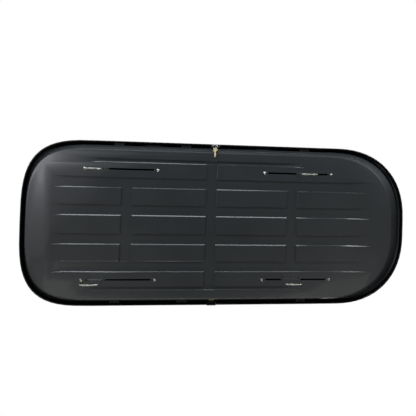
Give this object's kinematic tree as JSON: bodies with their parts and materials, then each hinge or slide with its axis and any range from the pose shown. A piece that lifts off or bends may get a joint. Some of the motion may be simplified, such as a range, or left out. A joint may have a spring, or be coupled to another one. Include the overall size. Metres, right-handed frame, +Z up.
{
  "type": "car roof box",
  "caption": "Streamlined car roof box with a lid that opens from either side, a ribbed tray, sliding U-bolt bar clamps, two locks and a key ring.",
  "frame": {"origin": "bottom centre of the bounding box, on the plane of the U-bolts' lowest bars", "axes": "+X to the front (nose), +Y to the left side, +Z up as carried on the roof"},
  "size_m": [2.0616, 0.8795, 0.394],
  "materials": {
    "satin_black_abs": "satin, fine moulded grain",
    "gloss_black_abs": "gloss",
    "rubber": "matt",
    "zinc_steel": "bright zinc plate with a faint yellow cast",
    "plated_steel": "zinc plate, satin",
    "black_steel": "black paint, satin",
    "yellow_zinc": "yellow passivated zinc",
    "bright_steel": "nickel plate, polished",
    "key_brass": "pale nickel brass, rubbed",
    "black_nylon": "satin nylon"
  },
  "bodies": {
    "box_tray": {"tray": "satin_black_abs", "tray_seal": "rubber", "front_left_track": "plated_steel", "front_right_track": "plated_steel", "rear_left_track": "plated_steel", "rear_right_track": "plated_steel", "track_bolts": "zinc_steel", "track_nuts": "zinc_steel", "left_brackets": "black_steel", "right_brackets": "black_steel", "left_hinge_pins": "plated_steel", "right_hinge_pins": "plated_steel", "left_strike_plate": "yellow_zinc", "right_strike_plate": "yellow_zinc"},
    "left_claw_set": {"left_claws": "black_nylon"},
    "right_claw_set": {"right_claws": "black_nylon"},
    "lid_shell": {"lid": "gloss_black_abs", "lid_edge_trim": "gloss_black_abs", "roof_stiffener": "satin_black_abs", "left_rod_guides": "black_nylon", "right_rod_guides": "black_nylon", "left_lock_housing": "black_nylon", "right_lock_housing": "black_nylon", "left_lock_cover": "black_nylon"},
    "left_lock": {"left_lock_cylinder": "bright_steel"},
    "right_lock": {"right_lock_cylinder": "bright_steel"},
    "left_rod": {"left_lock_rod": "plated_steel"},
    "right_rod": {"right_lock_rod": "plated_steel"},
    "key": {"lock_key": "key_brass"},
    "ring": {"key_ring": "bright_steel"},
    "spare": {"spare_key": "key_brass"},
    "front_left_mount": {"front_left_u_bolt": "zinc_steel", "front_left_clamp": "plated_steel"},
    "front_left_knob_a_body": {"front_left_knob_a": "black_nylon"},
    "front_left_knob_b_body": {"front_left_knob_b": "black_nylon"},
    "front_right_mount": {"front_right_u_bolt": "zinc_steel", "front_right_clamp": "plated_steel"},
    "front_right_knob_a_body": {"front_right_knob_a": "black_nylon"},
    "front_right_knob_b_body": {"front_right_knob_b": "black_nylon"},
    "rear_left_mount": {"rear_left_u_bolt": "zinc_steel", "rear_left_clamp": "plated_steel"},
    "rear_left_knob_a_body": {"rear_left_knob_a": "black_nylon"},
    "rear_left_knob_b_body": {"rear_left_knob_b": "black_nylon"},
    "rear_right_mount": {"rear_right_u_bolt": "zinc_steel", "rear_right_clamp": "plated_steel"},
    "rear_right_knob_a_body": {"rear_right_knob_a": "black_nylon"},
    "rear_right_knob_b_body": {"rear_right_knob_b": "black_nylon"}
  },
  "joints": [
    {"name": "open_right_side", "type": "hinge", "parent": "box_tray", "child": "left_claw_set", "pos_m": [0, 0.419, 0.106], "axis": [-1, 0, 0], "range_deg": [0, 50]},
    {"name": "open_left_side", "type": "hinge", "parent": "left_claw_set", "child": "lid_shell", "pos_m": [0, -0.419, 0.106], "axis": [1, 0, 0], "range_deg": [0, 50]},
    {"name": "right_claws_turn", "type": "hinge", "parent": "box_tray", "child": "right_claw_set", "pos_m": [0, -0.419, 0.106], "axis": [1, 0, 0], "range_deg": [0, 50]},
    {"name": "left_lock_turn", "type": "hinge", "parent": "lid_shell", "child": "left_lock", "pos_m": [-0.042, 0.41, 0.115], "axis": [0, 1, 0], "range_deg": [0, 90]},
    {"name": "left_rod_slide", "type": "slide", "parent": "lid_shell", "child": "left_rod", "axis": [1, 0, 0], "range_m": [0, 0.01413]},
    {"name": "right_lock_turn", "type": "hinge", "parent": "lid_shell", "child": "right_lock", "pos_m": [-0.042, -0.41, 0.115], "axis": [0, 1, 0], "range_deg": [0, 90]},
    {"name": "right_rod_slide", "type": "slide", "parent": "lid_shell", "child": "right_rod", "axis": [1, 0, 0], "range_m": [0, 0.01413]},
    {"name": "key_pull", "type": "slide", "parent": "right_lock", "child": "key", "axis": [0, -1, 0], "range_m": [0, 0.03]},
    {"name": "ring_swing", "type": "hinge", "parent": "box_tray", "child": "ring", "pos_m": [-0.042, -0.4278, 0.083], "axis": [1, 0, 0], "range_deg": [-40, 2]},
    {"name": "spare_key_swing", "type": "hinge", "parent": "ring", "child": "spare", "pos_m": [-0.042, -0.40635, 0.065], "axis": [1, 0, 0], "range_deg": [-45, 2]},
    {"name": "front_left_mount_slide", "type": "slide", "parent": "box_tray", "child": "front_left_mount", "axis": [1, 0, 0], "range_m": [-0.094, 0.142]},
    {"name": "front_left_knob_turn_a", "type": "hinge", "parent": "front_left_mount", "child": "front_left_knob_a_body", "pos_m": [0.427, 0.285, 0.085], "axis": [0, 0, 1], "continuous": true},
    {"name": "front_left_knob_turn_b", "type": "hinge", "parent": "front_left_mount", "child": "front_left_knob_b_body", "pos_m": [0.343, 0.285, 0.085], "axis": [0, 0, 1], "continuous": true},
    {"name": "front_right_mount_slide", "type": "slide", "parent": "box_tray", "child": "front_right_mount", "axis": [1, 0, 0], "range_m": [-0.163, 0.073]},
    {"name": "front_right_knob_turn_a", "type": "hinge", "parent": "front_right_mount", "child": "front_right_knob_a_body", "pos_m": [0.496, -0.285, 0.085], "axis": [0, 0, 1], "continuous": true},
    {"name": "front_right_knob_turn_b", "type": "hinge", "parent": "front_right_mount", "child": "front_right_knob_b_body", "pos_m": [0.412, -0.285, 0.085], "axis": [0, 0, 1], "continuous": true},
    {"name": "rear_left_mount_slide", "type": "slide", "parent": "box_tray", "child": "rear_left_mount", "axis": [1, 0, 0], "range_m": [0, 0.236]},
    {"name": "rear_left_knob_turn_a", "type": "hinge", "parent": "rear_left_mount", "child": "rear_left_knob_a_body", "pos_m": [-0.598, 0.285, 0.085], "axis": [0, 0, 1], "continuous": true},
    {"name": "rear_left_knob_turn_b", "type": "hinge", "parent": "rear_left_mount", "child": "rear_left_knob_b_body", "pos_m": [-0.682, 0.285, 0.085], "axis": [0, 0, 1], "continuous": true},
    {"name": "rear_right_mount_slide", "type": "slide", "parent": "box_tray", "child": "rear_right_mount", "axis": [1, 0, 0], "range_m": [0, 0.236]},
    {"name": "rear_right_knob_turn_a", "type": "hinge", "parent": "rear_right_mount", "child": "rear_right_knob_a_body", "pos_m": [-0.598, -0.285, 0.085], "axis": [0, 0, 1], "continuous": true},
    {"name": "rear_right_knob_turn_b", "type": "hinge", "parent": "rear_right_mount", "child": "rear_right_knob_b_body", "pos_m": [-0.682, -0.285, 0.085], "axis": [0, 0, 1], "continuous": true}
  ],
  "couplings": [
    {"joint": "right_claws_turn", "follows": "open_left_side", "ratio": 1},
    {"joint": "left_lock_turn", "follows": "left_rod_slide", "rad_per_m": 111.1},
    {"joint": "right_lock_turn", "follows": "right_rod_slide", "rad_per_m": 111.1}
  ]
}
